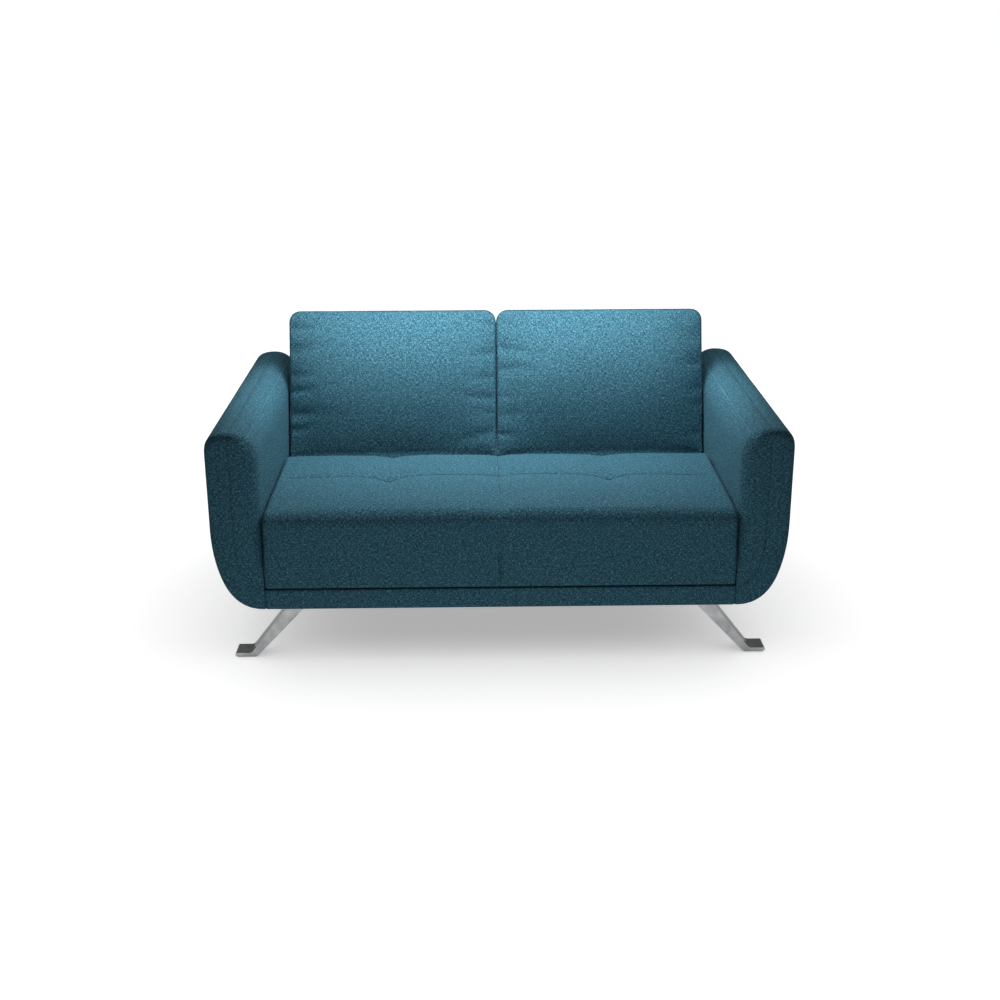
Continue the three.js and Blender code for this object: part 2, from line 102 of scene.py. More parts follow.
def waviness(p: Array, scale: float, seed: int) -> Array:
    """Smooth pseudo-random field from -1 to 1, the same at each run.

    Args:
        p: points, one row each.
        scale: rough distance between bumps.
        seed: picks the field.

    Returns:
        One value for each point.
    """
    rng = np.random.default_rng(seed)
    total = np.zeros(len(p))
    for _ in range(7):
        wave = rng.normal(size=3)
        wave *= rng.uniform(0.6, 1.5) * 2 * math.pi / (scale * 2 * np.linalg.norm(wave))
        total += np.sin(p @ wave + rng.uniform(0, 2 * math.pi))
    return total / 4


# ---------- shader node groups and finishes ----------
class Nodes:
    """Adds and links shader nodes in one tree."""

    def __init__(self, tree: bpy.types.NodeTree) -> None:
        """Keeps the tree."""
        self.tree = tree

    def add(self, kind: str, settings: dict | None = None, **inputs: object) -> bpy.types.Node:
        """Adds a node.

        Args:
            kind: node type without its ShaderNode prefix.
            settings: properties to set on the node.
            inputs: socket values or the output sockets to link, by name or _number.

        Returns:
            The new node.
        """
        node = self.tree.nodes.new("ShaderNode" + kind)
        for key, value in (settings or {}).items():
            setattr(node, key, value)
        for key, value in inputs.items():
            socket = node.inputs[int(key[1:])] if key[0] == "_" else node.inputs[key.replace("_", " ")]
            if isinstance(value, bpy.types.NodeSocket):
                self.tree.links.new(value, socket)
            else:
                socket.default_value = value
        return node

    def math(self, operation: str, a: object, b: object = 0.0, clamp: bool = False) -> bpy.types.NodeSocket:
        """Result of a Math node on a and b."""
        return self.add("Math", {"operation": operation, "use_clamp": clamp}, _0=a, _1=b).outputs[0]

    def noise(self, vector: object, scale: float, detail: float = 2.0) -> bpy.types.NodeSocket:
        """Noise value at a vector."""
        return self.add("TexNoise", Vector=vector, Scale=scale, Detail=detail).outputs[0]

    def stretched(self, vector: object, scale: Colour) -> bpy.types.NodeSocket:
        """The vector times a scale on each axis."""
        return self.add("VectorMath", {"operation": "MULTIPLY"}, _0=vector, _1=scale).outputs[0]

    def ramp(self, value: object, lo: float, hi: float, a: float = 0.0,
             b: float = 1.0) -> bpy.types.NodeSocket:
        """The value mapped from lo..hi to a..b, clamped."""
        return self.add("MapRange", {"clamp": True}, _0=value, _1=lo, _2=hi, _3=a, _4=b).outputs[0]

    def mix(self, share: object, a: object, b: object) -> bpy.types.NodeSocket:
        """Colour between a and b."""
        node = self.add("Mix", {"data_type": "RGBA"}, _0=share)
        for socket, value in ((node.inputs[6], a), (node.inputs[7], b)):
            if isinstance(value, bpy.types.NodeSocket):
                self.tree.links.new(value, socket)
            else:
                socket.default_value = (*value, 1.0)
        return node.outputs[2]


def new_group(name: str, inputs: dict[str, str], outputs: dict[str, str]) -> tuple[Nodes, object, object]:
    """Starts a shader node group.

    Args:
        name: group name.
        inputs: socket types by name.
        outputs: socket types by name.

    Returns:
        The group's nodes, its input node and its output node.
    """
    tree = bpy.data.node_groups.new(name, "ShaderNodeTree")
    for way, sockets in (("INPUT", inputs), ("OUTPUT", outputs)):
        for label, kind in sockets.items():
            tree.interface.new_socket(name=label, in_out=way, socket_type="NodeSocket" + kind)
    return Nodes(tree), tree.nodes.new("NodeGroupInput"), tree.nodes.new("NodeGroupOutput")


def weave_group() -> bpy.types.NodeTree:
    """Plain weave with slubs, laid flat on whichever way a surface faces.

    Returns:
        The group, with outputs Height, Fleck and Patch.
    """
    n, inp, out = new_group(
        "weave", {"Vector": "Vector", "Facing": "Vector", "Threads": "Float"},
        {"Height": "Float", "Fleck": "Float", "Patch": "Float"})
    xyz = n.add("SeparateXYZ", _0=inp.outputs["Vector"])
    way = n.add("SeparateXYZ", _0=inp.outputs["Facing"])
    side = n.math("GREATER_THAN", n.math("ABSOLUTE", way.outputs[0]), 0.72)
    top = n.math("GREATER_THAN", n.math("ABSOLUTE", way.outputs[2]), 0.72)

    def pick(share: object, a: object, b: object) -> bpy.types.NodeSocket:
        """b where share is 1, else a."""
        return n.add("Mix", {"data_type": "FLOAT"}, _0=share, _2=a, _3=b).outputs[0]

    across = pick(side, xyz.outputs[0], xyz.outputs[1])
    down = pick(top, xyz.outputs[2], xyz.outputs[1])
    flat = n.add("CombineXYZ", _0=across, _1=down).outputs[0]
    warp = n.noise(n.stretched(flat, (1.0, 0.16, 1.0)), 820.0, 1.0)
    weft = n.noise(n.stretched(flat, (0.16, 1.0, 1.0)), 820.0, 1.0)
    mottle = n.noise(flat, 900.0, 1.0)
    threads = []
    for line in (across, down):
        phase = n.math("MULTIPLY", line, inp.outputs["Threads"])
        threads.append(n.math("SINE", phase))
    cloth = n.math("MULTIPLY", threads[0], threads[1])
    slub = n.math("MULTIPLY", n.math("MAXIMUM", warp, weft), 0.85)
    fleck = n.ramp(n.math("ADD", slub, n.math("MULTIPLY", mottle, 0.15)), 0.52, 0.72)
    height = n.math("ADD", n.math("MULTIPLY", cloth, 0.25), fleck)
    link = n.tree.links.new
    link(height, out.inputs["Height"])
    link(fleck, out.inputs["Fleck"])
    link(n.noise(flat, 24.0, 3.0), out.inputs["Patch"])
    return n.tree


def mottle_group() -> bpy.types.NodeTree:
    """Uneven wear and smudges, used on metal, timber, plastic and the dust cloth.

    Returns:
        The group, with outputs Smudge and Grain.
    """
    n, inp, out = new_group(
        "mottle", {"Vector": "Vector", "Stretch": "Vector", "Scale": "Float"},
        {"Smudge": "Float", "Grain": "Float"})
    vector = inp.outputs["Vector"]
    moved = n.stretched(vector, inp.outputs["Stretch"])
    n.tree.links.new(n.noise(moved, inp.outputs["Scale"], 4.0), out.inputs["Grain"])
    n.tree.links.new(n.noise(vector, 14.0, 3.0), out.inputs["Smudge"])
    return n.tree


WEAVE = weave_group()
MOTTLE = mottle_group()


def shell(name: str) -> tuple[bpy.types.Material, Nodes, bpy.types.Node]:
    """An empty node material, its nodes and its Principled shader."""
    material = bpy.data.materials.new(name)
    material.use_nodes = True
    n = Nodes(material.node_tree)
    return material, n, material.node_tree.nodes["Principled BSDF"]


@dataclass(frozen=True)
class FabricFinish:
    """Slubby plain-weave upholstery."""

    name: str
    ground: Colour = (0.009, 0.048, 0.079)
    thread: Colour = (0.014, 0.068, 0.108)
    fleck: Colour = (0.155, 0.400, 0.500)
    lean: float = 0.0
    threads: float = 2 * math.pi / 0.0022

    def material(self) -> bpy.types.Material:
        """The finished material."""
        material, n, bsdf = shell(self.name)
        place = n.add("TexCoord")
        turned = n.add("Mapping", Vector=place.outputs["Object"], Rotation=(self.lean, 0.0, 0.0))
        facing = n.add("Mapping", {"vector_type": "NORMAL"}, Vector=place.outputs["Normal"],
                       Rotation=(self.lean, 0.0, 0.0))
        weave = n.add("Group", {"node_tree": WEAVE}, Vector=turned.outputs[0], Facing=facing.outputs[0],
                      Threads=self.threads)
        height, fleck, patch = (weave.outputs[k] for k in ("Height", "Fleck", "Patch"))
        base = n.mix(n.ramp(patch, 0.25, 0.75, 0.35, 0.85), self.ground, self.thread)
        n.tree.links.new(n.mix(fleck, base, self.fleck), bsdf.inputs["Base Color"])
        n.tree.links.new(n.ramp(fleck, 0.0, 1.0, 0.95, 0.82), bsdf.inputs["Roughness"])
        bump = n.add("Bump", Height=height, Strength=0.5, Distance=0.0012)
        n.tree.links.new(bump.outputs[0], bsdf.inputs["Normal"])
        bsdf.inputs["Specular IOR Level"].default_value = 0.15
        bsdf.inputs["Sheen Weight"].default_value = 0.05
        bsdf.inputs["Sheen Roughness"].default_value = 0.45
        bsdf.inputs["Sheen Tint"].default_value = (0.35, 0.75, 0.85, 1.0)
        return material


@dataclass(frozen=True)
class HardFinish:
    """Metal, timber, plastic or thin cloth: two tones, a grain and a roughness range."""

    name: str
    dark: Colour
    light: Colour
    rough: tuple[float, float]
    metallic: float = 0.0
    stretch: Colour = (1.0, 1.0, 1.0)
    scale: float = 60.0
    relief: float = 0.1

    def material(self) -> bpy.types.Material:
        """The finished material."""
        material, n, bsdf = shell(self.name)
        place = n.add("TexCoord")
        mottle = n.add("Group", {"node_tree": MOTTLE}, Vector=place.outputs["Object"], Stretch=self.stretch,
                       Scale=self.scale)
        smudge, grain = mottle.outputs["Smudge"], mottle.outputs["Grain"]
        blend = n.math("ADD", n.math("MULTIPLY", grain, 0.65), n.math("MULTIPLY", smudge, 0.35))
        tone = n.ramp(blend, 0.35, 0.65)
        n.tree.links.new(n.mix(tone, self.dark, self.light), bsdf.inputs["Base Color"])
        n.tree.links.new(n.ramp(smudge, 0.3, 0.7, *self.rough), bsdf.inputs["Roughness"])
        bump = n.add("Bump", Height=grain, Strength=self.relief, Distance=0.0006)
        n.tree.links.new(bump.outputs[0], bsdf.inputs["Normal"])
        bsdf.inputs["Metallic"].default_value = self.metallic
        return material


class Finishes:
    """Every material of the sofa, made once."""

    def __init__(self, lean: float) -> None:
        """Makes the materials; lean is the tilt of the upright back in radians."""
        self.fabric = FabricFinish("teal_weave").material()
        self.back_fabric = FabricFinish("teal_weave_leaning", lean=lean).material()
        # seam finish: near-black colour on the seam tubes, painted shade standing in for the shadow in each seam
        # groove
        self.seam = HardFinish("seam_painted_shade", (0.003, 0.012, 0.018), (0.008, 0.03, 0.042), (0.9, 1.0),
                               scale=900.0).material()
        self.hard = {
            Slot.WOOD: HardFinish("sawn_timber", (0.42, 0.25, 0.12), (0.70, 0.49, 0.28), (0.6, 0.8),
                                  stretch=(0.08, 1.0, 1.0), scale=150.0, relief=0.4).material(),
            Slot.CHROME: HardFinish("polished_chrome", (0.60, 0.62, 0.63), (0.92, 0.93, 0.94), (0.05, 0.20),
                                    metallic=1.0, scale=40.0, relief=0.02).material(),
            Slot.STEEL: HardFinish("zinc_plate", (0.42, 0.43, 0.44), (0.66, 0.67, 0.68), (0.28, 0.46),
                                   metallic=1.0, scale=220.0).material(),
            Slot.PLASTIC: HardFinish("moulded_plastic", (0.015, 0.015, 0.018), (0.035, 0.035, 0.04),
                                     (0.45, 0.6), scale=500.0).material(),
            Slot.CLOTH: HardFinish("dust_cloth", (0.010, 0.010, 0.012), (0.032, 0.032, 0.035), (0.9, 1.0),
                                   scale=1400.0, relief=0.6).material(),
        }


# ---------- meshes ----------
Shape = Callable[[Array], Array]


def add_mesh(name: str, points: Array, faces: list, material: bpy.types.Material) -> bpy.types.Object:
    """A smooth object, welded and with its normals pointing out.

    Args:
        name: object and mesh name.
        points: one row each.
        faces: point indices of each face.
        material: finish of the whole object.

    Returns:
        The object, linked to the scene.
    """
    mesh = bpy.data.meshes.new(name)
    mesh.from_pydata([tuple(p) for p in points], [], faces)
    work = bmesh.new()
    work.from_mesh(mesh)
    bmesh.ops.remove_doubles(work, verts=work.verts, dist=0.05 * MM)
    bmesh.ops.dissolve_degenerate(work, edges=work.edges, dist=0.01 * MM)
    bmesh.ops.recalc_face_normals(work, faces=work.faces)
    for face in work.faces:
        face.smooth = True
    work.to_mesh(mesh)
    work.free()
    mesh.materials.append(material)
    piece = bpy.data.objects.new(name, mesh)
    bpy.context.scene.collection.objects.link(piece)
    return piece


def box_grid(lines: list[Array]) -> tuple[Array, list]:
    """Closed surface of a box cut along grid lines on each axis.

    Args:
        lines: positions along X, Y and Z.

    Returns:
        Points and quads.
    """
    points: list[Array] = []
    faces: list = []
    for axis in range(3):
        a, b = (axis + 1) % 3, (axis + 2) % 3
        grid_a, grid_b = np.meshgrid(lines[a], lines[b], indexing="ij")
        for end in (lines[axis][0], lines[axis][-1]):
            sheet = np.zeros((grid_a.size, 3))
            sheet[:, axis], sheet[:, a], sheet[:, b] = end, grid_a.ravel(), grid_b.ravel()
            start, wide = sum(len(p) for p in points), len(lines[b])
            points.append(sheet)
            for i in range(len(lines[a]) - 1):
                for j in range(wide - 1):
                    k = start + i * wide + j
                    faces.append((k, k + 1, k + wide + 1, k + wide))
    return np.vstack(points), faces


def rounded(p: Array, lo: Array, hi: Array, r_lo: Array, r_hi: Array) -> Array:
    """Rounds the edges and corners of a box surface.

    Args:
        p: points on the box.
        lo: lowest corner.
        hi: highest corner.
        r_lo: rounding at the low sides, for each axis or for each point and axis.
        r_hi: rounding at the high sides.

    Returns:
        The rounded points.
    """
    core = np.minimum(np.maximum(p, lo + r_lo), hi - r_hi)
    radius = np.where(p < core, r_lo, r_hi) * np.ones_like(p)
    way = (p - core) / radius
    length = np.maximum(np.linalg.norm(way, axis=1, keepdims=True), 1e-9)
    return core + way / length * radius


def along(p: Array, line: Array) -> tuple[Array, Array]:
    """Nearest place on a polyline.

    Args:
        p: points.
        line: corners of the polyline.

    Returns:
        Each point's distance to the line, and how far along the line that is.
    """
    best = np.full(len(p), 1e9)
    place = np.zeros(len(p))
    lengths = np.linalg.norm(np.diff(line, axis=0), axis=1)
    starts = np.concatenate([[0], np.cumsum(lengths)])
    for i, (a, b) in enumerate(zip(line, line[1:])):
        d = b - a
        t = np.clip(((p - a) @ d) / max(d @ d, 1e-12), 0, 1)
        far = np.linalg.norm(p - a - t[:, None] * d, axis=1)
        near = far < best
        best[near] = far[near]
        place[near] = (starts[i] + t * lengths[i])[near]
    return best, place


def coordinates(piece: bpy.types.Object) -> tuple[Array, Array]:
    """Points and normals of a mesh object."""
    mesh = piece.data
    co, no = np.zeros(len(mesh.vertices) * 3), np.zeros(len(mesh.vertices) * 3)
    mesh.vertices.foreach_get("co", co)
    mesh.vertices.foreach_get("normal", no)
    return co.reshape(-1, 3), no.reshape(-1, 3)


def put(piece: bpy.types.Object, points: Array) -> None:
    """Sets the points of a mesh object."""
    piece.data.vertices.foreach_set("co", points.ravel())
    piece.data.update()


@dataclass
class Seam:
    """A sewn seam: a groove in the fabric, with a thin dark tube along it as painted shade."""

    name: str
    line: Array
    depth: float = 2.2 * MM
    width: float = 4.5 * MM
    radius: float = 0.9 * MM
    fine: float = 3.0 * MM

    def press(self, piece: bpy.types.Object) -> None:
        """Refines the mesh near the seam and presses the groove into it.

        Args:
            piece: the fabric.
        """
        reach = 3.2 * self.width
        work = bmesh.new()
        work.from_mesh(piece.data)
        far, _place = along(np.array([v.co for v in work.verts]), self.line)
        near = far < reach
        edges = [e for e in work.edges
                 if all(near[v.index] for v in e.verts) and e.calc_length() > self.fine]
        bmesh.ops.subdivide_edges(work, edges=edges, cuts=1, use_grid_fill=True)
        for face in work.faces:
            face.smooth = True
        work.to_mesh(piece.data)
        work.free()
        points, normals = coordinates(piece)
        far, place = along(points, self.line)
        pucker = 1 + 0.25 * np.sin(place / (9 * MM)) * np.sin(place / (31 * MM))
        drop = self.depth * pucker * np.exp(-((far / self.width) ** 2))
        put(piece, points - normals * drop[:, None])

    def painted_shade_tube(self, piece: bpy.types.Object, material: bpy.types.Material, body: str) -> bpy.types.Object:
        """Painted shade in the bottom of the groove: a thin dark closed tube on the surface.

        Args:
            piece: the fabric that the seam is on.
            material: finish of the tube, a dark colour painted as the groove's shade.
            body: body that it rides on.

        Returns:
            The tube.
        """
        line = self.line
        steps = np.linalg.norm(np.diff(line, axis=0), axis=1)
        dist = np.concatenate([[0], np.cumsum(steps)])
        count = max(8, int(dist[-1] / (6 * MM)))
        at = np.linspace(0, dist[-1], count)
        path = np.stack([np.interp(at, dist, line[:, k]) for k in range(3)], axis=1)
        bpy.context.view_layer.update()
        snapped = []
        for p in path:
            hit, where, normal, _face = piece.closest_point_on_mesh(Vector(p))
            snapped.append(np.array(where + normal * 0.15 * MM if hit else Vector(p)))
        path = np.array(snapped)
        tangent = np.gradient(path, axis=0)
        tangent /= np.maximum(np.linalg.norm(tangent, axis=1, keepdims=True), 1e-9)
        guide = np.where(np.abs(tangent[:, :1]) < 0.8, [[1.0, 0, 0]], [[0, 0, 1.0]])
        u = np.cross(tangent, guide)
        u /= np.linalg.norm(u, axis=1, keepdims=True)
        v = np.cross(tangent, u)
        sides = 6
        ring = [path + self.radius * (math.cos(a) * u + math.sin(a) * v)
                for a in np.arange(sides) * 2 * math.pi / sides]
        points = np.stack(ring, axis=1).reshape(-1, 3)
        faces: list = [(i * sides + k, i * sides + (k + 1) % sides, (i + 1) * sides + (k + 1) % sides,
                        (i + 1) * sides + k) for i in range(count - 1) for k in range(sides)]
        faces += [tuple(range(sides)), tuple(range((count - 1) * sides, count * sides))]
        # the tube gets the dark seam finish, painted shade laid in the groove
        tube = add_mesh(self.name, points, faces, material)
        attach(tube, body)
        return tube


def upholster(piece: bpy.types.Object, seams: list[Seam], body: str, node: str,
              thread: bpy.types.Material) -> bpy.types.Object:
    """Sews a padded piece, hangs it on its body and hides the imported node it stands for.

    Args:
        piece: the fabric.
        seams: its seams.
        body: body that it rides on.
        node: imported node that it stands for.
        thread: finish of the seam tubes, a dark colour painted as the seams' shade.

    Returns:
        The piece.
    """
    for seam in seams:
        seam.press(piece)
    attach(piece, body)
    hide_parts(node)
    for seam in seams:
        seam.painted_shade_tube(piece, thread, body)
    return piece


# ---------- sub-assemblies ----------
@dataclass
class SeatPad:
    """One-piece tight seat with two blind tufts, a cross seam and a centre pleat."""

    finishes: Finishes
    crown: float = 12 * MM
    pad: float = 134 * MM
    drop: float = 32 * MM
    tuft_x: float = 315 * MM
    tuft_y: float = -205 * MM
    seam_y: float = -175 * MM
    step: float = 7 * MM

    def side_rounding(self, z: Array) -> Array:
        """Rounding of the vertical front edges, which fades out where the seat joins the arms."""
        return 0.3 * MM + 15 * MM * smooth(z, 0.25, 0.37)

    def build(self) -> bpy.types.Object:
        """Makes the seat, presses its tufts and pleat, and sews its seams."""
        lo, hi = (np.array(c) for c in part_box("seat_cushion"))
        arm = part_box("arm_left_cover")[0].x
        edge_z = hi[2] - self.crown
        arm -= 0.05 * MM
        lo, hi = np.array([-arm, lo[1] - 1.6 * MM, lo[2]]), np.array([arm, hi[1], edge_z])
        wall = lo[1] + self.drop
        under = edge_z - self.pad
        ends, tuft = 20 * MM, self.tuft_x
        lines = [
            spaced([lo[0], lo[0] + ends, -tuft, 0.0, tuft, hi[0] - ends, hi[0]], self.step),
            spaced([lo[1], lo[1] + 12 * MM, wall, wall + 0.3 * MM, self.tuft_y, hi[1] - 26 * MM, hi[1]],
                   self.step),
            spaced([lo[2], under, under + 0.3 * MM, hi[2] - 40 * MM, hi[2]], self.step),
        ]
        points, faces = box_grid(lines)
        rest = points.copy()
        side = self.side_rounding(points[:, 2])
        fine = np.full(len(points), 0.3 * MM)
        r_lo = np.stack([side, np.full(len(points), 40 * MM), fine], axis=1)
        r_hi = np.stack([side, np.full(len(points), 24 * MM), np.full(len(points), 40 * MM)], axis=1)
        points = rounded(points, lo, hi, r_lo, r_hi)
        hollow = (rest[:, 1] > wall + 0.2 * MM) & (rest[:, 2] < under + 0.1 * MM)
        points[hollow, 2] = under
        piece = add_mesh("seat_upholstery", points, faces, self.finishes.fabric)
        points, _normals = coordinates(piece)
        x, y, z = points.T
        top = smooth(z, edge_z - 0.07, edge_z - 0.01) * smooth(hi[1] - y, -0.001, 0.004)
        tx, ty = x / hi[0], (2 * y - lo[1] - hi[1]) / (hi[1] - lo[1])
        swell = self.crown * 1.1 * (1 - tx ** 4) * (1 - ty ** 4)
        valley = 7 * MM * np.exp(-np.abs(x) / (30 * MM))
        for side_x in (-self.tuft_x, self.tuft_x):
            reach = np.hypot(x - side_x, 1.1 * (y - self.tuft_y))
            valley += 12 * MM * np.exp(-reach / (26 * MM)) + 3 * MM * np.exp(-((reach / (80 * MM)) ** 2))
            rear = smooth(y, self.tuft_y, hi[1] - 0.01)
            valley += 10 * MM * rear * np.exp(-np.abs(x - side_x) / (36 * MM))
        seamed = smooth(0.60 - np.abs(x), 0, 0.06)
        valley += 4 * MM * np.exp(-np.abs(y - self.cross(x)) / (13 * MM)) * seamed
        points[:, 2] += top * (swell - valley + 1.2 * MM * waviness(points, 0.11, 3))
        front = smooth(-y, -lo[1] - 0.012, -lo[1] - 0.001) * smooth(z, lo[2] + 0.012, 0.25)
        slot = 6.5 * MM * smooth(z, 0.225, 0.26) * np.exp(-((x / (5 * MM)) ** 2))
        slot += 3.5 * MM * smooth(z, 0.225, 0.30) * np.exp(-np.abs(x) / (24 * MM))
        points[:, 1] += front * (slot + 0.7 * MM * waviness(points, 0.13, 5))
        put(piece, points)
        xs = np.linspace(-0.60, 0.60, 120)
        centre = self.on_top(np.zeros(40), np.linspace(hi[1] - 0.03, lo[1] + 0.05, 40), edge_z)
        pleat = np.stack([np.zeros(20), np.full(20, lo[1]), np.linspace(0.31, 0.228, 20)], axis=1)
        seams = [
            Seam("seat_cross_seam", self.on_top(xs, self.cross(xs), edge_z), 1.4 * MM, 4 * MM, 0.6 * MM),
            Seam("seat_centre_seam", centre, 1.0 * MM, 4 * MM, 0.4 * MM),
            Seam("seat_front_pleat", pleat, 2 * MM, 3.5 * MM, 0.9 * MM),
        ]
        return upholster(piece, seams, "base", "seat_cushion", self.finishes.seam)

    def cross(self, x: Array) -> Array:
        """Y of the cross seam, drawn forward to the tufts."""
        pull = sum(np.exp(-np.abs(np.asarray(x) - s) / (38 * MM)) for s in (-self.tuft_x, self.tuft_x))
        return self.seam_y + (self.tuft_y - self.seam_y) * pull

    def on_top(self, x: Array, y: Array, z: float) -> Array:
        """Points just above the seat's edges, to be laid on the surface."""
        return np.stack([x, y, np.full(len(x), z + 4 * MM)], axis=1)


@dataclass
class ArmPair:
    """The two padded arms and the seams up their fronts and along their crowns."""

    finishes: Finishes
    ridge: float = 66 * MM
    outer_seam: float = 35 * MM
    corner_z: float = 240 * MM
    band: float = 58 * MM
    step: float = 8 * MM

    def outline(self, lo: Vector, hi: Vector) -> Array:
        """Front-view outline of the left arm from its inner bottom corner round the outside.

        Args:
            lo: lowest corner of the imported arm.
            hi: highest corner.

        Returns:
            Evenly spaced X and Z positions.
        """
        ridge, quarter = hi.x - self.ridge, math.pi / 2

        def arc(cx: float, cz: float, rx: float, rz: float, a0: float, a1: float, power: float) -> Array:
            """Part of a superellipse."""
            a = np.linspace(a0, a1, 60)
            c, s = np.cos(a), np.sin(a)
            return np.stack([cx + rx * np.sign(c) * np.abs(c) ** (2 / power),
                             cz + rz * np.sign(s) * np.abs(s) ** (2 / power)], axis=1)

        wide = hi.x - lo.x - 1.5 * MM
        raw = np.vstack([
            [[lo.x, lo.z]],
            arc(hi.x - wide, lo.z + self.corner_z, wide, self.corner_z, -quarter, 0, 2.3),
            arc(ridge, hi.z - 60 * MM, hi.x - ridge, 60 * MM, 0, quarter, 2.7),
            arc(ridge, hi.z - 85 * MM, ridge - lo.x, 85 * MM, quarter, 2 * quarter, 2.1)[1:],
            [[lo.x, lo.z]],
        ])
        dist = np.concatenate([[0], np.cumsum(np.linalg.norm(np.diff(raw, axis=0), axis=1))])
        keep = np.concatenate([[True], np.diff(dist) > 1e-7])
        at = np.linspace(0, dist[-1], int(dist[-1] / self.step) + 1)[:-1]
        return np.stack([np.interp(at, dist[keep], raw[keep, k]) for k in range(2)], axis=1)

    def build(self) -> list[bpy.types.Object]:
        """Makes both arms."""
        return [self.arm("left", 1), self.arm("right", -1)]

    def arm(self, name: str, side: int) -> bpy.types.Object:
        """Makes one arm.

        Args:
            name: left or right.
            side: 1 for the left and -1 for the right.

        Returns:
            The finished arm.
        """
        lo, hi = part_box("arm_left_cover")
        ring = self.outline(lo, hi)
        spine_x = lo.x + 66 * MM
        spine_z = np.clip(ring[:, 1], lo.z + 0.11, hi.z - 0.08)
        spine = np.stack([np.full(len(ring), spine_x), spine_z], axis=1)
        inward = spine - ring
        depth = np.linalg.norm(inward, axis=1)
        inner = (smooth(spine_x - ring[:, 0], 0.015, 0.06) * smooth(ring[:, 1], 0.245, 0.42))
        low = 1 - smooth(ring[:, 1], lo.z + 0.02, lo.z + 0.14)
        wall = (ring[:, 0] < lo.x + 1 * MM) & (ring[:, 1] > lo.z + 1 * MM)
        joined = wall * (1 - smooth(ring[:, 1], 0.235, 0.30))
        front_r = (24 * MM + 26 * MM * inner - 12 * MM * low) * (1 - joined) + 0.1 * MM * joined
        rear_r = np.full(len(ring), 26 * MM)
        shares = np.concatenate([np.linspace(0, 0.06, 4), np.linspace(0.1, 1, 14)])

        def cap(share: float, radius: Array, front: bool) -> Array:
            """One ring of an end face, a share of the way to the spine."""
            flat = ring + inward * share
            into = depth * share
            swell = radius - np.sqrt(np.maximum(radius ** 2 - np.maximum(radius - into, 0) ** 2, 0))
            y = lo.y + swell if front else hi.y - swell
            return np.stack([flat[:, 0], y, flat[:, 1]], axis=1)

        rings = [cap(s, front_r, True) for s in shares[::-1]]
        body_y = np.linspace(0, 1, int((hi.y - lo.y) / self.step))[1:-1]
        for t in body_y:
            y = (lo.y + front_r) * (1 - t) + (hi.y - rear_r) * t
            rings.append(np.stack([ring[:, 0], y, ring[:, 1]], axis=1))
        rings += [cap(s, rear_r, False) for s in shares]
        count = len(ring)
        points = np.vstack(rings)
        faces = [(r * count + i, r * count + (i + 1) % count, (r + 1) * count + (i + 1) % count,
                  (r + 1) * count + i) for r in range(len(rings) - 1) for i in range(count)]
        points[:, 0] *= side
        piece = add_mesh(f"arm_{name}_upholstery", points, faces, self.finishes.fabric)
        points, normals = coordinates(piece)
        free = smooth(points[:, 2], 0.27, 0.40) + smooth(np.abs(points[:, 0]), spine_x, spine_x + 0.03)
        soft = 0.9 * MM * waviness(points, 0.14, 11 if side > 0 else 12) * np.clip(free, 0, 1)
        put(piece, points - normals * (np.abs(soft) * 0.6)[:, None])
        seams = [self.main_seam(name, side, lo, hi), self.stitched_line(name, side, lo, hi)]
        return upholster(piece, seams, "base", f"arm_{name}_cover", self.finishes.seam)

    def main_seam(self, name: str, side: int, lo: Vector, hi: Vector) -> Seam:
        """Seam from the band round the corner, up the front and along the crown.

        Args:
            name: left or right.
            side: 1 or -1.
            lo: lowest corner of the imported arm.
            hi: highest corner.

        Returns:
            The seam.
        """
        ridge = hi.x - self.ridge
        turn = np.linspace(-math.pi / 2, 0, 30)
        wide, tall = ridge - lo.x + 2 * MM, self.corner_z - self.band - 30 * MM
        corner = np.stack([lo.x - 2 * MM + wide * np.abs(np.cos(turn)) ** (2 / 2.2), np.full(30, lo.y),
                           lo.z + self.band + tall * (1 - np.abs(np.sin(turn)) ** (2 / 2.2))], axis=1)
        up = np.array([[ridge, lo.y, z] for z in np.linspace(corner[-1, 2] + 0.01, hi.z - 0.03, 20)])
        crown = np.array([[ridge, y, hi.z] for y in np.linspace(lo.y + 0.03, hi.y - 0.03, 40)])
        back = np.array([[ridge, hi.y, z] for z in np.linspace(hi.z - 0.03, lo.z + 0.05, 20)])
        line = np.vstack([corner, up, crown, back]) * [side, 1, 1]
        return Seam(f"arm_{name}_main_seam", line, 1.6 * MM, 3.5 * MM, 0.5 * MM)

    def stitched_line(self, name: str, side: int, lo: Vector, hi: Vector) -> Seam:
        """Faint second line nearer the outside, up the front and along the top."""
        x = hi.x - self.outer_seam
        up = np.array([[x, lo.y, z] for z in np.linspace(lo.z + 0.13, hi.z - 0.03, 20)])
        crown = np.array([[x, y, hi.z - 4 * MM] for y in np.linspace(lo.y + 0.03, hi.y - 0.03, 40)])
        line = np.vstack([up, crown]) * [side, 1, 1]
        return Seam(f"arm_{name}_stitched_line", line, 0.5 * MM, 3 * MM, 0.25 * MM)


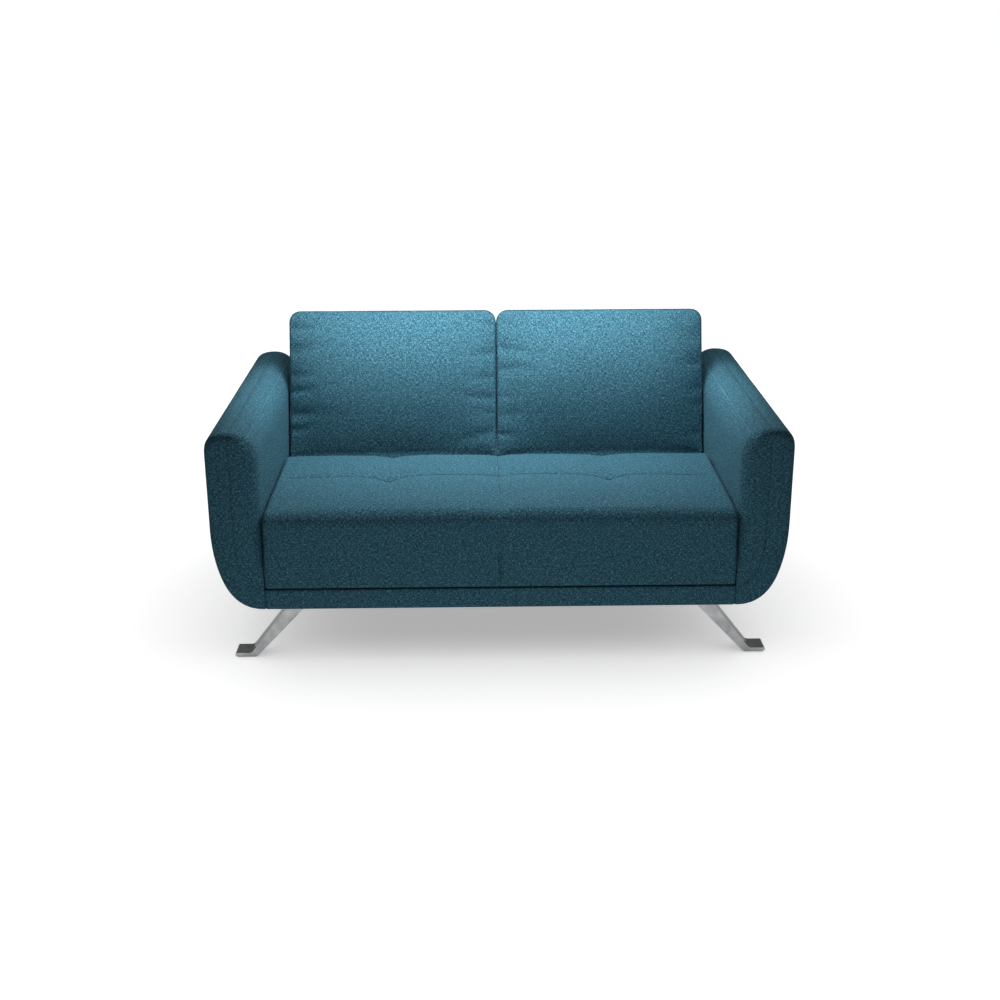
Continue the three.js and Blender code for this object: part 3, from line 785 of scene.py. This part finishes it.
@dataclass
class Bands:
    """The lower front band and the padded panel across the rear of the base."""

    finishes: Finishes
    step: float = 8 * MM

    def build(self) -> list[bpy.types.Object]:
        """Makes the band and the rear panel."""
        return [self.strip("front_band", -1, 12 * MM), self.strip("rear_panel", 1, 5 * MM)]

    def strip(self, node: str, way: int, radius: float) -> bpy.types.Object:
        """A long padded strip.

        Args:
            node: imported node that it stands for.
            way: -1 where its outside faces the front and 1 at the rear.
            radius: rounding of its outer edges.

        Returns:
            The finished strip.
        """
        lo, hi = (np.array(c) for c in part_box(node))
        if way < 0:
            lo[1] -= 1.6 * MM
            hi[0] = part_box("arm_left_cover")[0].x - 0.05 * MM
            lo[0] = -hi[0]
            hi[2] += 0.2 * MM
        r = min(radius, (hi[1] - lo[1]) / 2.2)
        steps = (self.step, 3 * MM, self.step)
        lines = [spaced([lo[k], lo[k] + r, hi[k] - r, hi[k]], steps[k]) for k in range(3)]
        points, faces = box_grid(lines)
        thin = 0.3 * MM
        r_lo = np.array([thin, r if way < 0 else thin, r])
        r_hi = np.array([thin, thin if way < 0 else r, thin if way < 0 else r])
        points = rounded(points, lo, hi, r_lo, r_hi)
        piece = add_mesh(f"{node}_upholstery", points, faces, self.finishes.fabric)
        points, normals = coordinates(piece)
        out = smooth(way * normals[:, 1], 0.5, 0.9)
        put(piece, points - normals * (out * 0.4 * MM * (1 + waviness(points, 0.12, 21 + way)))[:, None])
        seams = []
        if way < 0:
            count = 160
            xs = np.linspace(lo[0], hi[0], count)
            line = np.stack([xs, np.full(count, lo[1]), np.full(count, hi[2])], axis=1)
            seams.append(Seam("band_seam", line, 0.3 * MM, 3 * MM, 0.25 * MM))
        return upholster(piece, seams, "base", node, self.finishes.seam)


@dataclass
class BackHalf:
    """One half of the back: a crowned, boxed cushion with a pocket for its frame, and a rear cover."""

    name: str
    finishes: Finishes
    recline: float
    length: float = 552 * MM
    thick: float = 150 * MM
    pivot_w: float = 60 * MM
    pivot_u: float = 83 * MM
    wall: float = 28 * MM
    pocket: float = 107 * MM
    notch: float = 113 * MM
    corner: float = 34 * MM
    front: float = -19 * MM
    bulge: float = 50 * MM
    low_corner: float = 22 * MM
    boxing: float = 2.5 * MM
    touch: float = 0.06 * MM
    hollow: float = 1.2 * MM
    clear: float = 24 * MM
    step: float = 7 * MM
    body: str = field(init=False)

    def __post_init__(self) -> None:
        """Names the body it rides on."""
        self.body = f"back_{self.name}"

    def pivot(self) -> tuple[float, float]:
        """Y and Z of the recline joint."""
        joint = next(j for j in frame["joints"] if j["name"] == f"{self.body}_recline")
        return joint["pos_m"][1], joint["pos_m"][2]

    def leaning(self, p: Array) -> Array:
        """Points given across, behind the front face and along the back, in the row frame."""
        y0, z0 = self.pivot()
        v, u = p[:, 1] - self.pivot_w, p[:, 2] - self.pivot_u
        c, s = math.cos(self.recline), math.sin(self.recline)
        return np.stack([p[:, 0], y0 + v * c + u * s, z0 - v * s + u * c], axis=1)

    def span(self) -> tuple[float, float]:
        """Sides of the cushion."""
        lo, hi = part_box(f"{self.body}_cushion")
        return lo.x, hi.x

    def puckers(self, x: Array, u: Array) -> Array:
        """Short creases pulled in from the side seams, deepest near the seam.

        Args:
            x: positions across.
            u: positions along the back.

        Returns:
            Depth of the creases.
        """
        x0, x1 = self.span()
        total = np.zeros_like(x)
        rng = np.random.default_rng(31 if self.name == "left" else 47)
        for edge in (x0, x1):
            far = np.abs(x - edge)
            at = 0.10
            while at < self.length - 0.03:
                reach, tall = rng.uniform(0.035, 0.10), rng.uniform(0.008, 0.017)
                tilt = rng.uniform(-0.25, 0.25)
                depth = rng.uniform(3.0, 7.0) * MM
                line = (u - at - tilt * far) / tall
                fade = np.exp(-((far / reach) ** 2)) * smooth(far, 0.0, 0.014)
                total += depth * np.exp(-line ** 2) * fade
                at += rng.uniform(0.042, 0.085)
        return total

    def face_depth(self, x: Array, u: Array) -> Array:
        """Depth of the crowned front face.

        Args:
            x: positions across.
            u: positions along the back.

        Returns:
            Depth at each position.
        """
        x0, x1 = self.span()
        tx = (2 * x - x0 - x1) / (x1 - x0)
        shown = self.length - self.notch
        tu = np.clip(2 * (u - self.notch) / shown - 1, -1, 1)
        round_off = 1 - (1 - np.abs(tu) ** 2.1) * (1 - np.abs(tx) ** 4)
        fuller = 0.25 * smooth(-tu, 0.4, 1.0) * (1 - np.abs(tx) ** 4)
        return self.front + self.bulge * round_off * (1 - fuller)

    def build(self) -> list[bpy.types.Object]:
        """Makes the cushion and the rear cover."""
        return [self.cushion(), self.rear_cover()]

    def cushion(self) -> bpy.types.Object:
        """Makes the cushion, puffs it up, creases it and sews its seam."""
        x0, x1 = self.span()
        mid, half = (x0 + x1) / 2, (x1 - x0) / 2
        slim = 0.3 * MM
        lines = [
            spaced([x0, x0 + 8 * MM, x0 + self.wall, x0 + self.wall + slim, x1 - self.wall - slim,
                    x1 - self.wall, x1 - 8 * MM, x1], self.step),
            spaced([0.0, 3 * MM, 6 * MM, 9 * MM, self.pocket, self.pocket + slim, self.thick], self.step),
            spaced([0.0, 8 * MM, self.notch - self.clear, self.notch - self.clear + 6 * MM, self.notch,
                    self.notch + 6 * MM, self.length - self.wall - slim,
                    self.length - self.wall, self.length - 8 * MM, self.length], self.step),
        ]
        flat, faces = box_grid(lines)
        x, v, u = flat.T.copy()
        seam_v = self.front + self.bulge
        rim = self.wall + slim / 2
        inside = (np.abs(x - mid) < half - rim) & (u < self.length - rim)
        face = self.face_depth(x, u)
        share = v / self.thick
        v = np.where(inside & (v > self.pocket + slim / 2), self.pocket, face + (self.thick - face) * share)
        v = np.where(inside & (flat[:, 1] > 0), np.minimum(v, self.pocket), v)
        boxed = np.sin(np.clip((v - seam_v) / (self.thick - seam_v), 0, 1) * math.pi) * self.boxing
        on_side = (np.abs(x - mid) > half - 1e-6) | (u > self.length - 1e-6)
        edge = np.minimum(np.minimum(half - np.abs(x - mid), self.length - u), 8 * MM) / (8 * MM)
        v = v + np.where(flat[:, 1] < 1e-6, 4 * MM * (1 - edge) ** 2, 0) * smooth(u, 0.12, 0.17)
        core_x = np.clip(x, x0 + self.corner, x1 - self.corner)
        core_u = np.clip(u, self.low_corner, self.length - self.corner)
        dx, du = x - core_x, u - core_u
        both = (np.abs(dx) > 1e-9) & (np.abs(du) > 1e-9)
        r = np.where(du > 0, self.corner, self.low_corner)
        big = np.maximum(np.abs(dx) / self.corner, np.abs(du) / r)
        length = np.maximum(np.hypot(dx / self.corner, du / r), 1e-9)
        x = np.where(both, core_x + dx / length * big, x)
        u = np.where(both, core_u + du / length * big, u)
        inner = x0 if self.name == "left" else x1
        across = np.clip((v - seam_v) / (self.thick - seam_v), 0, 1)
        close = 1 - smooth(np.abs(x - inner), 0.0, self.wall)
        gap = self.touch + self.hollow * (1 - np.sin(math.pi * across)) * smooth(u, 0.14, 0.18)
        x = x + close * (np.sign(inner) * gap - inner)
        pull = np.where(on_side & (np.abs(x - inner) > half), -boxed, 0.0)
        x = x - np.sign(x - mid) * pull * (np.abs(x - mid) > half - self.corner)
        u = u - pull * (u > self.length - self.corner)
        level = self.notch - self.clear * (1 - smooth(v, 31 * MM, 35 * MM))
        narrow = 1 - (self.wall + 1 * MM) / half * (1 - smooth(u, level, level + 6 * MM))
        x = mid + (x - mid) * narrow
        flat = np.stack([x, v, u], axis=1)
        piece = add_mesh(f"{self.body}_upholstery", self.leaning(flat), faces, self.finishes.back_fabric)
        self.puff(piece)
        self.crease(piece)
        seam = Seam(f"{self.body}_front_seam", self.seam_line(), 2.2 * MM, 4 * MM, 0.6 * MM)
        return upholster(piece, [seam], self.body, f"{self.body}_cushion", self.finishes.seam)

    def upright(self, p: Array) -> Array:
        """Row-frame points back in across, depth and length."""
        y0, z0 = self.pivot()
        y, z = p[:, 1] - y0, p[:, 2] - z0
        c, s = math.cos(self.recline), math.sin(self.recline)
        return np.stack([p[:, 0], y * c - z * s + self.pivot_w, y * s + z * c + self.pivot_u], axis=1)

    def puff(self, piece: bpy.types.Object, most: float = 9 * MM) -> None:
        """Inflates the front as cloth under pressure, with its rear, sides and lower end held.

        Args:
            piece: the cushion.
            most: furthest that a point may move.
        """
        before, _normals = coordinates(piece)
        flat = self.upright(before)
        x0, x1 = self.span()
        edge = np.minimum(np.minimum(flat[:, 0] - x0, x1 - flat[:, 0]), self.length - flat[:, 2])
        ahead = flat[:, 1] < self.front + self.bulge + 4 * MM
        free = smooth(edge, 0.004, 0.020) * ahead * smooth(flat[:, 2], 0.12, 0.16)
        held = piece.vertex_groups.new(name="held")
        for i, weight in enumerate(1 - free):
            held.add([i], float(weight), "REPLACE")
        cloth = piece.modifiers.new("cloth", "CLOTH")
        cloth.settings.use_pressure = True
        cloth.settings.uniform_pressure_force = 4.0
        cloth.settings.effector_weights.gravity = 0.0
        cloth.settings.vertex_group_mass = "held"
        cloth.settings.bending_stiffness = 2.0
        cloth.collision_settings.use_collision = False
        scene = bpy.context.scene
        for number in range(1, 16):
            scene.frame_set(number)
        shape = piece.evaluated_get(bpy.context.evaluated_depsgraph_get()).to_mesh()
        after = np.zeros(len(before) * 3)
        shape.vertices.foreach_get("co", after)
        piece.modifiers.remove(cloth)
        scene.frame_set(1)
        moved = after.reshape(-1, 3) - before
        far = np.linalg.norm(moved, axis=1, keepdims=True)
        put(piece, before + moved * np.minimum(1, most / np.maximum(far, 1e-9)) * free[:, None])
        piece.vertex_groups.remove(held)

    def crease(self, piece: bpy.types.Object) -> None:
        """Presses the puckers into the front face.

        Args:
            piece: the cushion.
        """
        points, _normals = coordinates(piece)
        flat = self.upright(points)
        front = smooth(self.face_depth(flat[:, 0], flat[:, 2]) + 0.018 - flat[:, 1], 0, 0.012)
        drop = self.puckers(flat[:, 0], flat[:, 2]) + 0.9 * MM * waviness(points, 0.12, 7)
        flat[:, 1] += front * drop
        put(piece, self.leaning(flat))

    def seam_line(self) -> Array:
        """Line of the front seam, round the top corners and down both sides."""
        x0, x1 = self.span()
        inset, r = 3.5 * MM, self.corner - 3 * MM
        bottom, top = self.notch + 0.015, self.length - inset
        a = np.linspace(0, math.pi / 2, 12)
        left = [[x0 + inset, u] for u in np.linspace(bottom, top - r, 30)]
        right = [[x1 - inset, u] for u in np.linspace(top - r, bottom, 30)]
        corner_l = np.stack([x0 + inset + r * (1 - np.cos(a)), top - r + r * np.sin(a)], axis=1)
        corner_r = np.stack([x1 - inset - r * (1 - np.sin(a)), top - r + r * np.cos(a)], axis=1)
        line = np.vstack([left, corner_l, corner_r, right])
        depth = np.full(len(line), self.front + self.bulge + 5 * MM)
        return self.leaning(np.stack([line[:, 0], depth, line[:, 1]], axis=1))

    def rear_cover(self) -> bpy.types.Object:
        """The cloth-covered, slightly padded board on the rear."""
        x0, x1 = self.span()
        v0 = self.thick + 0.4 * MM
        lo = np.array([x0 + self.wall + 1 * MM, v0, 6 * MM])
        hi = np.array([x1 - self.wall - 1 * MM, v0 + 5 * MM, self.length - 4 * MM])
        r = 4 * MM
        lines = [spaced([lo[k], lo[k] + r, hi[k] - r, hi[k]], self.step) for k in range(3)]
        lines[1] = spaced([lo[1], hi[1]], 1.5 * MM)
        flat, faces = box_grid(lines)
        flat = rounded(flat, lo, hi, np.array([r, 0.2 * MM, r]), np.array([r, r, r]))
        mid = (x0 + x1) / 2
        above = smooth(flat[:, 2], self.notch + 4 * MM, self.notch + 10 * MM)
        grow = 1 + above * (self.wall - 3 * MM) / (hi[0] - mid)
        corner = smooth(flat[:, 2], self.length - 0.04, self.length - 0.004) ** 2
        flat[:, 0] = mid + (flat[:, 0] - mid) * (grow - 0.05 * corner * (np.abs(flat[:, 0] - mid) > 0.2))
        piece = add_mesh(f"{self.body}_rear_cover", self.leaning(flat), faces, self.finishes.back_fabric)
        return upholster(piece, [], self.body, f"{self.body}_panel", self.finishes.seam)


@dataclass
class Hardware:
    """Timber, springs, hinges, legs and cloth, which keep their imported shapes."""

    finishes: Finishes
    soften: float = 0.8 * MM

    def build(self) -> list[bpy.types.Object]:
        """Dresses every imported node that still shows."""
        slots = {part["node"]: Slot(part["material_slot"]) for part in frame["record"]["subparts"]}
        dressed = []
        for name, node in frame["nodes"].items():
            if node.hide_render:
                continue
            node.data.materials.clear()
            node.data.materials.append(self.finishes.hard[slots[name]])
            if slots[name] in (Slot.CHROME, Slot.WOOD):
                bevel = node.modifiers.new("soft_edges", "BEVEL")
                bevel.width, bevel.segments = self.soften, 2
            dressed.append(node)
        return dressed


@dataclass(frozen=True)
class SoftBox:
    """A rectangular lamp that the camera doesn't see."""

    name: str
    size: tuple[float, float]
    watts: float
    place: Colour
    tilt: float = 0.0

    def build(self) -> bpy.types.Object:
        """The lamp as an object."""
        data = bpy.data.lights.new(self.name, "AREA")
        data.shape = "RECTANGLE"
        data.size, data.size_y = self.size
        data.energy = self.watts
        lamp = bpy.data.objects.new(self.name, data)
        lamp.location = self.place
        lamp.rotation_euler = (math.radians(self.tilt), 0.0, 0.0)
        lamp.visible_camera = False
        return lamp


@dataclass
class Studio:
    """Pale floor, soft overhead light and the camera."""

    place: Colour = (-0.0594, -3.963, 1.689)
    pitch: float = 19.33
    yaw: float = 0.95
    roll: float = -0.2
    lens: float = 50.0
    surround: float = 0.09
    sun: float = 2.6
    sun_width: float = 128.0
    sun_tilt: float = -13.0
    floor_half: float = 60.0

    def build(self) -> None:
        """Makes the floor, the lights, the surroundings and the camera."""
        self.floor()
        self.lights()
        self.camera()
        bpy.context.scene.view_settings.view_transform = "Standard"

    def floor(self) -> None:
        """A wide pale floor."""
        material, n, bsdf = shell("pale_floor")
        tone = n.noise(n.add("TexCoord").outputs["Object"], 3.0)
        pale = n.mix(tone, (0.80, 0.80, 0.80), (0.82, 0.82, 0.82))
        path = n.add("LightPath")
        seen = path.outputs["Is Camera Ray"]
        away = n.mix(path.outputs["Is Glossy Ray"], (0.28, 0.28, 0.28), (0.62, 0.62, 0.62))
        n.tree.links.new(n.mix(seen, away, pale), bsdf.inputs["Base Color"])
        n.tree.links.new(n.mix(seen, (0.0, 0.0, 0.0), (0.42, 0.42, 0.42)), bsdf.inputs["Emission Color"])
        bsdf.inputs["Emission Strength"].default_value = 1.0
        bsdf.inputs["Roughness"].default_value = 0.9
        bsdf.inputs["Specular IOR Level"].default_value = 0.1
        wide = self.floor_half
        corners = np.array([[-wide, -wide, 0], [wide, -wide, 0], [wide, wide, 0], [-wide, wide, 0]])
        floor = add_mesh("floor", corners, [(0, 1, 2, 3)], material)
        self.floor_object = floor

    def lights(self) -> None:
        """A soft box over the back, a low fill, a broad light for the floor, and even surroundings."""
        over = SoftBox("soft_box", (1.35, 0.20), 14.0, (0.0, 0.03, 1.17)).build()
        low = SoftBox("low_fill", (1.8, 0.2), 3.2, (0.0, -1.35, 0.14), 98.0).build()
        broad = bpy.data.lights.new("broad_light", "SUN")
        broad.energy = self.sun
        broad.angle = math.radians(self.sun_width)
        above = bpy.data.objects.new("broad_light", broad)
        above.rotation_euler = (math.radians(self.sun_tilt), 0.0, 0.0)
        only = bpy.data.collections.new("floor_only")
        only.objects.link(self.floor_object)
        above.light_linking.receiver_collection = only
        apart = bpy.data.collections.new("all_but_floor")
        apart.objects.link(self.floor_object)
        apart.collection_objects[0].light_linking.link_state = "EXCLUDE"
        for lamp in (over, low):
            lamp.light_linking.receiver_collection = apart
        for lamp in (over, above, low):
            bpy.context.scene.collection.objects.link(lamp)
        world = bpy.data.worlds.new("surroundings")
        world.use_nodes = True
        n = Nodes(world.node_tree)
        sky = world.node_tree.nodes["Background"]
        seen = n.add("LightPath").outputs["Is Camera Ray"]
        rise = n.math("MULTIPLY", seen, 1.0 - self.surround)
        n.tree.links.new(n.math("ADD", rise, self.surround), sky.inputs["Strength"])
        sky.inputs["Color"].default_value = (1.0, 1.0, 1.0, 1.0)
        bpy.context.scene.world = world

    def camera(self) -> None:
        """The camera, at standing height, looking down at the seat."""
        p, y, r = (math.radians(a) for a in (self.pitch, self.yaw, self.roll))
        ahead = Vector((math.sin(y) * math.cos(p), math.cos(y) * math.cos(p), -math.sin(p)))
        right = Vector((math.cos(y), -math.sin(y), 0.0))
        up = right.cross(ahead)
        right, up = math.cos(r) * right + math.sin(r) * up, math.cos(r) * up - math.sin(r) * right
        data = bpy.data.cameras.new("camera")
        data.lens, data.sensor_width = self.lens, 36.0
        camera = bpy.data.objects.new("camera", data)
        turned = Matrix((right, up, -ahead)).transposed().to_4x4()
        camera.matrix_world = Matrix.Translation(self.place) @ turned
        bpy.context.scene.collection.objects.link(camera)
        bpy.context.scene.camera = camera


def main() -> None:
    """Builds the sofa's looks in order and reports each piece."""
    logging.basicConfig(level=logging.INFO, format="%(name)s: %(message)s")
    Studio().build()
    recline = math.radians(18)
    finishes = Finishes(recline)
    made: list[bpy.types.Object] = [SeatPad(finishes).build()]
    made += ArmPair(finishes).build()
    made += Bands(finishes).build()
    for name in ("left", "right"):
        made += BackHalf(name, finishes, recline).build()
    made += Hardware(finishes).build()
    for piece in made:
        LOG.info("%s: %d faces", piece.name, len(piece.data.polygons))


if __name__ == "__main__":
    main()
